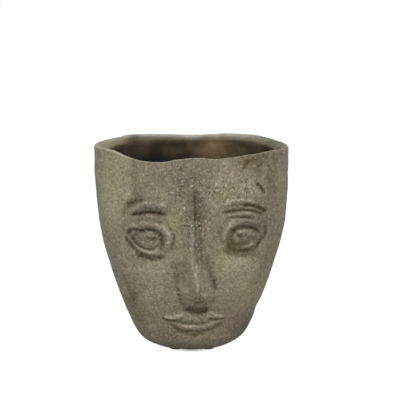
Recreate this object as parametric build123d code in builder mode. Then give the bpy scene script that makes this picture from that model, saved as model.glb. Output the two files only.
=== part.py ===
from build123d import *
from math import asin, atan2, copysign, cos, exp, hypot, pi, sin, tanh
import os

# A cast cement plant pot in the shape of a head. It stands on its rounded chin, its open crown holds
# the soil, and a relief face looks along -Y. +Z is up, and the origin is on the table under the pot's
# middle. Sizes are in millimetres. Heights are measured from the table, and face places from the
# pot's middle line, with +X to the right of somebody who looks at the face.

# The casting's overall shape
rim_width = 160
rim_depth = 147
pot_height = 170
base_width = 80
base_depth = 73.5
base_rounding = 15
plan_power = 2.4
taper_power = 2.3

# How finely the outlines follow the face, and how many points go round the sides and back. The
# planting space has no face in it, so its outlines are fewer and plainer
level_step = 2.5
face_step = 2
side_points = 26
front_share = 0.86
plain_level_step = 16
plain_points = 24
rounding_levels = 6

# Its wall, floor and wavy lip. Each wave has its count round the rim, its height as a share of
# lip_wave, and the share of a turn where one of its crests stands
wall = 11
floor_thickness = 12
inner_rounding = 12
lip_thickness = 11.8
lip_wave = 1
lip_wave_shares = ((1, 1.4, 0.93), (2, 1.2, 0.28), (3, 1.25, 0.042), (4, 1, 0.145), (5, 0.65, 0.077))
lip_points = 60
half_turn_shares = ((0, 0.5), (0.5, 1))
lip_grid_step = 8
lip_grid_share = 0.6

# The drain hole and its stopper, which drops in from inside
drain_bore = 12
drain_chamfer = 1.5
plug_clearance = 0.08
plug_flange_diameter = 24
plug_flange_thickness = 3
plug_flange_rounding = 1.2
plug_tip_gap = 3
plug_tip_chamfer = 1
plug_neck_diameter = 5
plug_neck_height = 3
plug_grip_diameter = 11
plug_grip_thickness = 4
plug_grip_rounding = 1.5

# Self-adhesive feet under the base
foot_diameter = 11
foot_thickness = 2
foot_chamfer = 0.5
foot_circle_diameter = 38
foot_names = ("back_right", "back_left", "front_left", "front_right")

# The nose: a long wedge that widens and rises down to its tip, with a wing on each side. It bends
# towards +X below the eyes
nose_x = 2.2
nose_lean = 2.4
nose_bend_height = 82
nose_bend_slope = 12
nose_top_height = 139
nose_tip_height = 62
nose_base_height = 48.5
nose_top_width = 9
nose_base_width = 19
nose_top_out = 1
nose_tip_out = 12.8
nose_rise_power = 1.1
nose_edge_power = 1.7
nose_under_slope = 3
nose_top_slope = 14
nostril_wing_apart = 17
nostril_wing_height = 62
nostril_wing_reach = 5
nostril_wing_out = 2.5

# The eyes: a ball inside a raised lid that is round by the nose and pointed at the temple
left_eye_x = -34
right_eye_x = 41
eye_height = 104.5
eye_width = 33
eye_opening = 24
eye_corner_power = 1.55
lid_out = 2.4
lid_reach_share = 0.18
lid_groove_depth = 0.9
lid_groove_share = 1.36
ball_out = 3.2
ball_share = 0.7
pupil_toward_nose = 3
pupil_rise = 3
pupil_reach = 2.6
pupil_depth = 1.2
socket_reach = 20
socket_depth = 2.4

# The brows: an arched roll with a groove under it
brow_height = 136
brow_width = 42
brow_drop = 6
brow_thickness = 8
brow_out = 2.5
brow_groove_depth = 1.6
brow_groove_reach = 1.8

# The mouth: two lips that meet in a sagging line, on a low mound
mouth_x = 2
mouth_width = 50
mouth_corner_height = 36.7
mouth_sag = 3.6
mouth_groove_depth = 1
mouth_groove_reach = 2
upper_lip_height = 12.5
upper_lip_out = 1.9
upper_lip_dip = 5
upper_lip_dip_reach = 6
lower_lip_height = 7.5
lower_lip_out = 2.2
thinnest_lip = 4
mound_out = 2.4
mound_reach = 20
mound_height = 37
cheek_out = 1.5
cheek_apart = 68
cheek_height = 76
cheek_reach = 16

base_z = foot_thickness
floor_z = base_z + floor_thickness
lip_z = pot_height - lip_thickness / 2


def half_sizes(z, inset=0):
    """Half the width and half the depth of the plain casting at height z, less an inset."""
    rise = (z - base_z) / (pot_height - base_z)
    swell = 1 - (1 - rise) ** taper_power
    half_width = (base_width + (rim_width - base_width) * swell) / 2
    half_depth = (base_depth + (rim_depth - base_depth) * swell) / 2
    return half_width - inset, half_depth - inset


def plan_point(turn, half_width, half_depth):
    """A point of the rounded-square plan. turn is a share of a full turn from the back."""
    across, back = sin(turn * 2 * pi), cos(turn * 2 * pi)
    power = 2 / plan_power
    return (
        half_width * copysign(abs(across) ** power, across),
        half_depth * copysign(abs(back) ** power, back),
    )


def outward(x, y, half_width, half_depth):
    """The direction straight out of the plan at one of its points."""
    across = copysign(abs(x / half_width) ** (plan_power - 1), x) / half_width
    back = copysign(abs(y / half_depth) ** (plan_power - 1), y) / half_depth
    length = hypot(across, back)
    return across / length, back / length


def bell(distance, reach):
    """1 at no distance, falling smoothly to nearly nothing at twice the reach."""
    return exp(-((distance / reach) ** 2))


def fade(distance, slope):
    """0 well below a distance of zero, 1 well above it, and half way at zero."""
    return (1 + tanh(distance / slope)) / 2


def hump(share):
    """An arch from 0 at the share 0 over 1 at its middle to 0 at the share 1, and 0 outside."""
    return sin(share * pi) if 0 < share < 1 else 0


def nose_relief(x, z):
    down = (nose_top_height - z) / (nose_top_height - nose_base_height)
    half = (nose_top_width + (nose_base_width - nose_top_width) * min(max(down, 0), 1)) / 2
    toward_tip = min(max((nose_top_height - z) / (nose_top_height - nose_tip_height), 0), 1)
    out = nose_top_out + (nose_tip_out - nose_top_out) * toward_tip**nose_rise_power
    out *= fade(z - nose_base_height, nose_under_slope) * fade(nose_top_height - z, nose_top_slope)
    across = x - nose_x - nose_lean * fade(nose_bend_height - z, nose_bend_slope)
    ridge = out * exp(-(abs(across / half) ** nose_edge_power))
    wings = sum(
        bell(hypot(across - side * nostril_wing_apart / 2, z - nostril_wing_height), nostril_wing_reach)
        for side in (-1, 1)
    )
    return ridge + nostril_wing_out * wings


def eye_relief(x, z, eye_x, side):
    """side is 1 where the temple lies towards +X, and -1 on the other eye."""
    across = (x - eye_x) * side / (eye_width / 2)
    up = (z - eye_height) / (eye_opening / 2)
    power = 2 + (eye_corner_power - 2) * min(max(across, 0), 1)
    ring = (abs(across) ** power + abs(up) ** power) ** (1 / power)
    lid = lid_out * bell(ring - 1, lid_reach_share)
    groove = lid_groove_depth * bell(ring - lid_groove_share, lid_reach_share)
    ball = ball_out * max(0, 1 - (ring / ball_share) ** 2) ** 0.5
    pupil_x = eye_x - side * pupil_toward_nose
    pupil = pupil_depth * bell(hypot(x - pupil_x, z - eye_height - pupil_rise), pupil_reach)
    socket = socket_depth * bell(hypot(x - eye_x, z - eye_height), socket_reach)
    return lid - groove + ball - pupil - socket


def brow_relief(x, z, eye_x):
    across = (x - eye_x) / (brow_width / 2)
    line = brow_height - brow_thickness / 2 - brow_drop * across**2
    roll = brow_out * max(0, 1 - across**4) * bell(z - line, brow_thickness / 2)
    groove_line = line - brow_thickness / 2 - brow_groove_reach
    groove = brow_groove_depth * max(0, 1 - across**2) * bell(z - groove_line, brow_groove_reach)
    return roll - groove


def mouth_relief(x, z):
    across = (x - mouth_x) / (mouth_width / 2)
    middle = max(0, 1 - across**2)
    line = mouth_corner_height - mouth_sag * middle
    dip = upper_lip_dip * bell(x - mouth_x, upper_lip_dip_reach)
    upper_height = max(upper_lip_height * middle - dip, thinnest_lip)
    lower_height = max(lower_lip_height * middle, thinnest_lip)
    upper = upper_lip_out * hump((z - line) / upper_height) * middle**0.5
    lower = lower_lip_out * hump((line - z) / lower_height) * middle**0.5
    groove = mouth_groove_depth * middle**0.5 * bell(z - line, mouth_groove_reach)
    mound = mound_out * bell(hypot(x - mouth_x, z - mound_height), mound_reach)
    return upper + lower - groove + mound


def face_relief(x, z):
    """How far the face stands out of the plain casting at x and z."""
    out = nose_relief(x, z) + mouth_relief(x, z)
    for eye_x, side in ((left_eye_x, -1), (right_eye_x, 1)):
        out += eye_relief(x, z, eye_x, side) + brow_relief(x, z, eye_x)
        cheek_x = nose_x + side * cheek_apart / 2
        out += cheek_out * bell(hypot(x - cheek_x, z - cheek_height), cheek_reach)
    return out


def lip_height(turn):
    """The height of the lip's wavy middle line."""
    waves = [high * cos(count * (turn - crest) * 2 * pi) for count, high, crest in lip_wave_shares]
    return lip_z + lip_wave * sum(waves)


def lip_point(turn):
    """A point of the lip's middle line, over the middle of the wall."""
    return Vector(*plan_point(turn, *half_sizes(lip_z, wall / 2)), lip_height(turn))


def above_lip(x, y):
    """The point over x and y of the wavy surface that the lip lies in, which is level at its middle."""
    half_width, half_depth = half_sizes(lip_z, wall / 2)
    across = copysign(abs(x / half_width) ** (plan_power / 2), x)
    back = copysign(abs(y / half_depth) ** (plan_power / 2), y)
    turn = atan2(across, back) / (2 * pi)
    near_wall = min(hypot(across, back), 1) ** 2
    return Vector(x, y, lip_z + (lip_height(turn) - lip_z) * near_wall)


def face_turns():
    """Turns for the points of an outline: even steps across the face, even angles round the rest."""
    count = round(rim_width * front_share / face_step)
    shares = [front_share * (1 - 2 * i / count) for i in range(count + 1)]
    across = [1 / 2 - copysign(asin(abs(s) ** (plan_power / 2)), s) / (2 * pi) for s in shares]
    side = (1 + across[0] - across[-1]) / side_points
    return sorted(across + [(across[-1] + i * side) % 1 for i in range(1, side_points)])


def length_shares(turns):
    """Where points at these turns lie along the rim, as shares of its length, and 1 to close it."""
    points = [plan_point(turn, rim_width / 2, rim_depth / 2) for turn in (*turns, turns[0])]
    chords = [hypot(b[0] - a[0], b[1] - a[1]) for a, b in zip(points, points[1:])]
    return [sum(chords[:i]) / sum(chords) for i in range(len(chords) + 1)]


def stack(low, inset, rounding, step, turns, relief=None):
    """A solid head from height low to the top: outlines, the lowest ones drawn in to round its foot."""
    angles = [pi / 2 * i / rounding_levels for i in range(rounding_levels)]
    levels = [(low + rounding * (1 - cos(a)), inset + rounding * (1 - sin(a))) for a in angles]
    count = round((pot_height - low - rounding) / step)
    straight = (pot_height - low - rounding) / count
    levels += [(low + rounding + straight * i, inset) for i in range(count + 1)]
    shares = length_shares(turns)
    with BuildPart() as head:
        for z, drawn_in in levels:
            half_width, half_depth = half_sizes(z, drawn_in)
            points = []
            for turn in turns:
                x, y = plan_point(turn, half_width, half_depth)
                if relief and y < 0:
                    across, back = outward(x, y, half_width, half_depth)
                    out = relief(x, z)
                    x, y = x + out * across, y + out * back
                points.append((x, y))
            with BuildSketch(Plane.XY.offset(z)):
                with BuildLine():
                    # The same shares at every level keep the loft's surface even
                    add(Edge.make_spline(points, periodic=True, parameters=shares))
                make_face()
        loft()
    return head.part


plain_turns = [i / plain_points for i in range(plain_points)]
cavity = stack(floor_z, wall, inner_rounding, plain_level_step, plain_turns)

# All that is over the wavy surface, which cuts the wall to the lip's height
reach = rim_width * lip_grid_share
grid_steps = round(reach / lip_grid_step)
places = [reach * i / grid_steps for i in range(-grid_steps, grid_steps + 1)]
with BuildPart() as over_lip:
    grid = [[above_lip(x, y) for x in places] for y in places]
    extrude(Face.make_surface_from_array_of_points(grid), amount=pot_height, dir=(0, 0, 1))

# The lip lies on the cut wall, in two half turns
with BuildLine() as lip_line:
    Spline(*[lip_point(i / lip_points) for i in range(lip_points)], periodic=True)
with BuildPart() as lip:
    for start, end in half_turn_shares:
        half_turn = lip_line.line.edge().trim(start, end)
        with BuildSketch(Plane(half_turn @ 0, x_dir=(0, 0, 1), z_dir=half_turn % 0)):
            Circle(lip_thickness / 2)
        sweep(path=half_turn)

# The casting: the head with its face, cut to the lip's height, hollowed, lipped and drained
with BuildPart() as planter_body:
    add(stack(base_z, 0, base_rounding, level_step, face_turns(), face_relief))
    add(over_lip.part, mode=Mode.SUBTRACT)
    add(cavity, mode=Mode.SUBTRACT)
    add(lip.part)
    with Locations(Location((0, 0, base_z), (180, 0, 0))):
        CounterSinkHole(drain_bore / 2, drain_bore / 2 + drain_chamfer, floor_thickness)
planter_body.part.label = "planter_body"

# The stopper is turned from its outline: shank, flange, neck and grip
shank_radius = drain_bore / 2 - plug_clearance
shank_length = floor_thickness - plug_tip_gap
grip_low = plug_flange_thickness + plug_neck_height
with BuildPart() as drain_plug:
    with BuildSketch(Plane.XY.offset(floor_z - shank_length)):
        Circle(shank_radius)
    extrude(amount=shank_length)
    chamfer(drain_plug.edges().group_by(Axis.Z)[0], plug_tip_chamfer)
    with BuildSketch(Plane.XY.offset(floor_z)):
        Circle(plug_flange_diameter / 2)
    extrude(amount=plug_flange_thickness)
    fillet(drain_plug.edges().group_by(Axis.Z)[-1], plug_flange_rounding)
    with BuildSketch(Plane.XY.offset(floor_z + plug_flange_thickness)):
        Circle(plug_neck_diameter / 2)
    extrude(amount=plug_neck_height)
    with BuildSketch(Plane.XY.offset(floor_z + grip_low)):
        Circle(plug_grip_diameter / 2)
    extrude(amount=plug_grip_thickness)
    grip_edges = drain_plug.edges().filter_by(GeomType.CIRCLE).filter_by(
        lambda edge: edge.radius == plug_grip_diameter / 2
    )
    fillet(grip_edges, plug_grip_rounding)
drain_plug.part.label = "drain_plug"

# Rubber feet on a circle under the flat of the base
feet = []
for number, name in enumerate(foot_names):
    angle = (number + 1 / 2) * 2 * pi / len(foot_names)
    with BuildPart() as foot:
        with BuildSketch():
            with Locations((foot_circle_diameter / 2 * cos(angle), foot_circle_diameter / 2 * sin(angle))):
                Circle(foot_diameter / 2)
        extrude(amount=foot_thickness)
        chamfer(foot.edges().group_by(Axis.Z)[0], foot_chamfer)
    foot.part.label = "rubber_foot_" + name
    feet.append(foot.part)

os.makedirs("parts", exist_ok=True)
for piece in (planter_body.part, drain_plug.part, *feet):
    export_step(piece, f"parts/{piece.label}.step")
    print(piece.label, "solids", len(piece.solids()), "faces", len(piece.faces()), "valid", piece.is_valid)
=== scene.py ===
# %% [markdown]
# # A cement plant pot cast as a head
# The real pot is a thin shell of cast cement: a head that narrows to a rounded chin, with an open crown
# for the plant, a hand-made face in low relief, and a dark inside that has held wet soil. Under it are
# four rubber feet, and a rubber stopper sits in its drain hole.
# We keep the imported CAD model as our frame, so every piece already has its size and its place.

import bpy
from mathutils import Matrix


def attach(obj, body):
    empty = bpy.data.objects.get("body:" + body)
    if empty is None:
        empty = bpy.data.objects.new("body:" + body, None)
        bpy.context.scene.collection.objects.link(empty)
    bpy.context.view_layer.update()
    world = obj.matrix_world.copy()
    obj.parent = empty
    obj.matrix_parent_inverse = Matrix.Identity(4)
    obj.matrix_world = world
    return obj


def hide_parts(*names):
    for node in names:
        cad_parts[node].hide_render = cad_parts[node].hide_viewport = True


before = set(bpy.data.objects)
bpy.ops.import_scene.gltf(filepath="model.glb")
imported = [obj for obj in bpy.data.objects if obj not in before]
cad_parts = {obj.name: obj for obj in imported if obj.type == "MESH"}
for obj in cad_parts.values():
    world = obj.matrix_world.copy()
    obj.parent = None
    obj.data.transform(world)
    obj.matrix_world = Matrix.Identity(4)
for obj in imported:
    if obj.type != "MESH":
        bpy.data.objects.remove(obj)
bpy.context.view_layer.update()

# %% [markdown]
# ## Tools for materials
# A finish is a small tree of nodes. Blender works in linear light, while a colour that we pick is
# written in sRGB, so one function turns a hex value into a linear one. Another adds any node with its
# settings and its links and gives back an output to link on, which keeps the trees short to read.

import bpy
import numpy as np
from mathutils import Vector, noise

MM = 0.001


def linear(hex_colour):
    """An sRGB hex value as linear red, green, blue and alpha."""
    values = [int(hex_colour[i:i + 2], 16) / 255 for i in (1, 3, 5)]
    return [v / 12.92 if v <= 0.04045 else ((v + 0.055) / 1.055) ** 2.4 for v in values] + [1]


def add_node(tree, kind, settings=None, out=0, **sockets):
    """Adds a node of any kind and gives back one of its outputs, the first if none is named.

    A socket has its name or, as in _0, its number. Its value is a number, a hex colour or another
    node's output.
    """
    node = tree.nodes.new("ShaderNode" + kind)
    for name, value in (settings or {}).items():
        setattr(node, name, value)
    for name, value in sockets.items():
        key = int(name[1:]) if name[1:].isdigit() else name.replace("_", " ")
        if isinstance(value, bpy.types.NodeSocket):
            tree.links.new(value, node.inputs[key])
        else:
            node.inputs[key].default_value = linear(value) if isinstance(value, str) else value
    return node.outputs[out] if node.outputs else None


def new_material(name):
    """A material with an empty tree."""
    material = bpy.data.materials.new(name)
    material.use_nodes = True
    material.node_tree.nodes.clear()
    return material, material.node_tree


def put(name, data):
    """An object of this data, placed in the scene."""
    placed = bpy.data.objects.new(name, data)
    bpy.context.scene.collection.objects.link(placed)
    return placed


print("cement grey in linear light:", [round(v, 3) for v in linear("#857c6b")])

# %% [markdown]
# ## The pot's plain shape
# Seen from above the pot is a rounded square, between an ellipse and a box: a superellipse. From the rim
# it narrows slowly at first and then quickly to the chin. These are the CAD model's own formulas, with
# its sizes in millimetres less a few tenths of width, which the lumps of the skin need. So the mesh lies
# where the solid lies. A rim cast and rubbed by hand isn't level, so its height is given at places round
# the pot and joined by a smooth closed line.

# %% Sizes and the plan
rim_width, rim_depth, base_width, base_depth = 159.6, 146.6, 80, 73.5
base_z, pot_height, base_rounding = 2, 170, 15
plan_power, taper_power = 2.4, 2.3
wall, floor_z, inner_rounding = 11, 14, 12
hole_radius, mouth_radius, edge_rounding = 6, 7.6, 0.5
rim_rounding = 1

# Share of a turn, from the back over +X, and height of the rim's top there
rim_places = (
    (0, 170.6), (0.05, 172.1), (0.09, 172.4), (0.13, 171.6), (0.17, 170), (0.217, 169.4), (0.26, 169.4),
    (0.31, 170.6), (0.36, 171.3), (0.389, 170.9), (0.404, 170.2), (0.421, 169.7), (0.438, 169),
    (0.467, 167.8), (0.48, 167.9), (0.494, 168.4), (0.513, 167.4), (0.532, 165.5), (0.55, 165.2),
    (0.569, 165.4), (0.582, 166.1), (0.593, 167.2), (0.605, 168.7), (0.62, 170.6), (0.642, 172.1),
    (0.67, 172.3), (0.71, 171.5), (0.76, 170.4), (0.82, 170.5), (0.862, 170.9), (0.89, 172.4),
    (0.93, 171.9),
)


def half_sizes(z, inset=0):
    """Half the width and depth of the plain casting at height z, less an inset."""
    rise = (z - base_z) / (pot_height - base_z)
    swell = 1 - np.clip(1 - rise, 0, 1) ** taper_power
    half_width = (base_width + (rim_width - base_width) * swell) / 2
    half_depth = (base_depth + (rim_depth - base_depth) * swell) / 2
    return half_width - inset, half_depth - inset


def plan_points(turns):
    """Points of a rounded square of half size 1."""
    across, back = np.sin(turns * 2 * np.pi), np.cos(turns * 2 * np.pi)
    return (np.sign(v) * abs(v) ** (2 / plan_power) for v in (across, back))


def outward(x, y, half_width, half_depth):
    """The direction straight out of the plan at its points."""
    across = np.sign(x) * abs(x / half_width) ** (plan_power - 1) / half_width
    back = np.sign(y) * abs(y / half_depth) ** (plan_power - 1) / half_depth
    length = np.hypot(across, back)
    return across / length, back / length


def smooth_line(places, steps):
    """Points on a smooth line that passes through the places."""
    p = np.array(places, float)
    p = np.vstack([p[:1], p, p[-1:]])
    t = np.linspace(0, 1, steps, endpoint=False)[:, None]
    parts = [
        (2 * b + (c - a) * t + (2 * a - 5 * b + 4 * c - d) * t**2 + (3 * b - a - 3 * c + d) * t**3) / 2
        for a, b, c, d in zip(p, p[1:], p[2:], p[3:])
    ]
    return np.vstack(parts + [p[-2:-1]])


def rim_height(turns):
    """Height of the rim's top at these turns."""
    places = [(turn - 1, high) for turn, high in rim_places[-3:]]
    places += [*rim_places, *((turn + 1, high) for turn, high in rim_places[:3])]
    line = smooth_line(places, 12)
    return np.interp(turns, line[:, 0], line[:, 1])


rim_heights = rim_height(np.linspace(0, 1, 200))
print("rim between", rim_heights.min().round(1), "and", rim_heights.max().round(1), "mm high")

# %% [markdown]
# ## The face as a height map
# The face was modelled in clay by hand, and the mould took it over with every thumb mark. Sculpting it
# again by hand would give a result that nobody can rerun. So we draw a map of how far the clay stands out
# of the plain wall, seen straight from the front: broad forms from formulas, and the lids, brows, folds
# and scratches as strokes, each a smooth line with a height and a width, as a modelling tool leaves them.

# %% The map and its strokes
map_step = 0.4
map_x = np.arange(-84, 84, map_step)
map_z = np.arange(0, 176, map_step)
X, Z = np.meshgrid(map_x, map_z)
relief, marks, dirt_and_painted_light = (np.zeros_like(X) for layer in range(3))
map_rng = np.random.RandomState(7)


def bell(distance, reach):
    """1 at no distance, falling smoothly to nearly nothing at twice the reach."""
    return np.exp(-((distance / reach) ** 2))


def fade(distance, slope):
    """0 well below a distance of zero, 1 well above it."""
    return (1 + np.tanh(distance / slope)) / 2


def stroke(out, reach, places, taper=0.2, layer=marks):
    """Adds one stroke to a layer. It fades in and out over the taper, a share of its length.

    It stands out this many millimetres, or lies deep if negative, and reaches this far to either side.
    """
    line = smooth_line(places, 6)
    margin = reach * 3
    column = slice(*np.searchsorted(map_x, (line[:, 0].min() - margin, line[:, 0].max() + margin)))
    row = slice(*np.searchsorted(map_z, (line[:, 1].min() - margin, line[:, 1].max() + margin)))
    x, z = X[row, column], Z[row, column]
    lengths = np.hypot(*np.diff(line, axis=0).T)
    starts = np.concatenate([[0], np.cumsum(lengths)]) / lengths.sum()
    nearest, share = np.full_like(x, 1e9), np.zeros_like(x)
    for i, (a, b) in enumerate(zip(line, line[1:])):
        along = ((x - a[0]) * (b[0] - a[0]) + (z - a[1]) * (b[1] - a[1])) / lengths[i] ** 2
        along = np.clip(along, 0, 1)
        distance = np.hypot(x - a[0] - along * (b[0] - a[0]), z - a[1] - along * (b[1] - a[1]))
        closer = distance < nearest
        nearest[closer] = distance[closer]
        share[closer] = (starts[i] + along * (starts[i + 1] - starts[i]))[closer]
    ends = np.sin(np.clip(np.minimum(share, 1 - share) / taper, 0, 1) * np.pi / 2)
    layer[row, column] += out * ends * bell(nearest, reach)


def blurred(field, reach, reach_up=None):
    """The map smoothed by a bell curve of this reach in millimetres, in the map's frequencies."""
    rows = np.fft.fftfreq(field.shape[0], map_step)[:, None] * (reach_up or reach)
    columns = np.fft.fftfreq(field.shape[1], map_step)[None, :] * reach
    weight = np.exp(-2 * np.pi**2 * (rows**2 + columns**2))
    return np.fft.ifft2(np.fft.fft2(field) * weight).real


def uneven(size, size_up=None):
    """Random unevenness with patches of this size in millimetres, nearly all from -1 to 1."""
    field = blurred(map_rng.standard_normal(X.shape), size / 4, (size_up or size) / 4)
    return np.clip(field / field.std() / 2, -1.5, 1.5)


print("map of", X.shape[1], "by", X.shape[0], "points,", map_step, "mm apart")

# %% [markdown]
# ## The nose
# A long wedge, pinched out of the forehead between two fingers: narrow between the brows, wide and proud
# at its tip, which leans to one side. A thin crease shows where the two sides met, and the modelling tool
# left fine upright lines beside it.

# %% Model the nose
# Down the nose: height, the ridge's place across, half the width at its foot, and how far it stands out
nose_places = (
    (150, 2.4, 5, 0.2), (139, 2.4, 5.5, 0.8), (128, 2.5, 6.5, 1.8), (116, 2.6, 7.5, 3.2),
    (104, 2.2, 8.8, 5), (94, 1.8, 10.4, 6.8), (85, 2.4, 12, 8.6), (76, 3.6, 13.4, 10.4),
    (68, 4.3, 14.2, 12), (61, 4.6, 14.2, 12.6), (56, 4.7, 13.2, 12.2), (52, 4.6, 11.8, 11),
    (49, 4.4, 10.6, 7.2), (46.5, 4.2, 10, 2.6), (44, 4, 9.5, 0),
)
nose_line = smooth_line(nose_places[::-1], 8)
ridge_x, nose_half, nose_out = (np.interp(Z, nose_line[:, 0], nose_line[:, i]) for i in (1, 2, 3))
nose = nose_out * np.exp(-1.7 * (abs(X - ridge_x) / nose_half) ** 1.5) * (Z < 150)
for wing_x in (-6, 15.4):
    nose += 1.4 * bell(np.hypot(X - wing_x, Z - 61), 4.5)
relief += blurred(nose, 0.9)
relief += 0.22 * uneven(2.2, 30) * bell((X - 2) * 1.1, 15) * fade(Z - 70, 7) * fade(120 - Z, 7)
for row in (
    (-0.8, 1.1, [(2.3, 145), (2.2, 136), (2.5, 130), (2.8, 124)]),
    (-1.2, 0.9, [(2.8, 128), (2.8, 118), (2.9, 107)]), (0.5, 0.7, [(4, 125), (3.9, 118), (3.9, 109)]),
    (-0.6, 1.2, [(5.4, 124), (5.9, 117), (5.4, 112), (6.1, 106)]),
    (0.7, 0.8, [(0.5, 111), (0.3, 98), (0.5, 88), (1.2, 83)]),
    (0.4, 0.7, [(-1.9, 91), (0.4, 84.4), (1.8, 80)]), (-0.6, 0.9, [(3.4, 107), (3.4, 96), (4.2, 86)]),
    (-0.3, 1, [(7, 104), (7.4, 94), (8.8, 84)]), (0.7, 1, [(3.2, 79), (4, 73.3), (4.3, 67), (4.6, 60)]),
    (-0.5, 2.4, [(11.1, 93), (13.3, 83.5), (16.3, 73), (17.8, 66), (17.8, 60)]),
    (-0.5, 2.6, [(-10, 88), (-12.4, 78.5), (-11.8, 68), (-9.9, 60)]),
    (-0.4, 1.8, [(-9.6, 57), (-8, 52), (-5, 48)]), (-0.4, 2, [(17.6, 58), (16, 52), (13, 48)]),
    (-0.8, 1, [(-10.9, 60.4), (-10, 58.4)], 0.5),
    (-1.3, 1.6, [(-5, 47), (0, 45.4), (5, 44.9), (9, 45), (12.5, 46.8)]),
):
    stroke(*row)
print("nose stands out", relief.max().round(1), "mm")

# %% [markdown]
# ## Eyes and brows
# Each eye is a ball of clay pressed into a hollow and framed by rolls: a broad roll over it and down by
# the nose, a thin one under it. The rolls overlap and were smeared with a thumb, so both eyes differ.
# The brow on the left is one roll with a deep tool line under it, and the one on the right has three.

# %% Model the eyes
def ball(x, z, half_width, half_height, out, power=2.0):
    """A flattened ball. A power below 2 gives it pointed ends."""
    ring = (abs((X - x) / half_width) ** power + abs((Z - z) / half_height) ** power) ** (1 / power)
    return out * np.sqrt(np.clip(1 - ring**2, 0, 1))


for eye_x, eye_z in ((-34, 103.5), (41, 104)):
    relief -= 1.6 * bell(np.hypot((X - eye_x) / 1.25, Z - eye_z), 15)
relief += ball(-34.8, 103.4, 10, 7.2, 2.6) + 0.5 * bell(np.hypot(X + 30.6, Z - 107.4), 1.9)
relief += ball(42.3, 103.8, 11.6, 7.9, 2.6, 1.75) + 0.5 * bell(np.hypot(X - 37.4, Z - 109.2), 1.7)
for row in (
    # lids, pupil and roll on the left
    (1.2, 2.4, [(-50, 108), (-46, 113), (-40, 115.4), (-34, 116), (-28, 115), (-24, 112), (-21.8, 108)]),
    (0.6, 0.9, [(-48.5, 113.3), (-44, 116.2), (-40, 117.6), (-35.3, 118), (-32.1, 118.4), (-25.7, 116.6),
        (-22.2, 112.6)]),
    (-1.5, 1.3, [(-50.6, 105.5), (-48.9, 109.5), (-46.5, 111.4), (-43.4, 111.7), (-39.8, 110.9),
        (-36.9, 110.9), (-34.7, 112), (-31, 111.6), (-26.5, 110.6), (-24.2, 108.6), (-23.3, 105),
        (-22.3, 101.5), (-22.7, 98.4), (-24.4, 96)], 0.1),
    (-0.7, 0.8, [(-46.1, 107), (-45.8, 103.3), (-42.9, 100.2), (-38.6, 98), (-34.3, 95.9), (-29.2, 95.6),
        (-26.3, 97)]),
    (1.1, 0.9, [(-49.1, 104.3), (-46.6, 101.3), (-43.7, 98.6), (-40.8, 96.2), (-34.3, 93.7), (-31.1, 93.5),
        (-27.6, 95)], 0.1),
    (-0.9, 1.6, [(-52.2, 106.4), (-51.6, 103.8), (-49.6, 101), (-47.4, 98.2), (-44.8, 95.4), (-41, 92.8)]),
    (-0.8, 0.9, [(-40.6, 92.4), (-37.2, 92.4), (-33.6, 91.5), (-30, 91.8), (-26, 93.6)]),
    (-1.4, 2.4, [(-44.5, 92.6), (-39.1, 90.4), (-36.2, 89.4), (-32.6, 88.8), (-29, 89), (-24.3, 90.2),
        (-20, 92)]),
    (2, 2.6, [(-25.5, 116.4), (-22, 113.8), (-19.8, 111.3), (-17.9, 107.7), (-17.6, 104.7), (-18.8, 100.9),
        (-21.3, 95.6)]),
    (-0.5, 1.6, [(-20.8, 117), (-17.6, 114.8), (-15.4, 111.2), (-14.3, 107.5), (-14.3, 102.9), (-15.9, 98.7),
        (-18, 94.8)]),
    (0.4, 0.8, [(-34.3, 110.3), (-31.5, 111), (-28.6, 110.4)]),
    (-0.5, 0.7, [(-33.1, 109.2), (-29.6, 109.3)]),
    (-0.9, 0.9, [(-34, 107), (-32.5, 105.6), (-29.8, 104.9), (-27.2, 105.9)]),
    # the same on the right
    (1.8, 1.9, [(25.4, 102), (25, 106.5), (25.9, 110.3), (27.4, 113.2), (29.8, 115.6), (32.8, 117.5),
        (37, 118.7)]),
    (0.9, 1.3, [(35, 118.2), (41, 118.9), (47, 118), (53.5, 115)]),
    (0.4, 0.7, [(29.5, 119.4), (31.5, 120.4), (35, 121), (38, 121)]),
    (-1.6, 1.4, [(30.6, 107.4), (31.4, 110.2), (33.6, 112), (37.2, 113.3), (41.8, 113.3), (46.5, 112),
        (49.2, 110.8), (52.7, 107.2)]),
    (-0.9, 0.8, [(30.6, 109.5), (30.3, 106.5), (30.7, 103)]),
    (0.5, 0.8, [(34.6, 109.6), (36.3, 111.2), (38.8, 110.8)]),
    (-1, 0.9, [(35.2, 107.8), (36.8, 106.8), (38.7, 107.6), (40.2, 109.4)]),
    (-1.2, 1, [(56.4, 113.6), (57.8, 109.8), (57.6, 105.2), (55.3, 101), (51.4, 97.3), (49.1, 93.4)]),
    (1, 1.1, [(32.8, 98.4), (37.1, 97), (42, 97.1), (47, 98.5), (52, 101)]),
    (-0.9, 1.1, [(26.6, 101.4), (28.6, 98), (31.6, 95.2), (37, 94.3), (42.7, 94.5), (48, 95.6)]),
    (-1, 1.4, [(26.2, 95.6), (30, 92.5), (37.3, 90.4), (43, 89.8), (47.8, 91)]),
):
    stroke(*row)
print("eyes reach from", marks.min().round(1), "to", marks.max().round(1), "mm")

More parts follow.
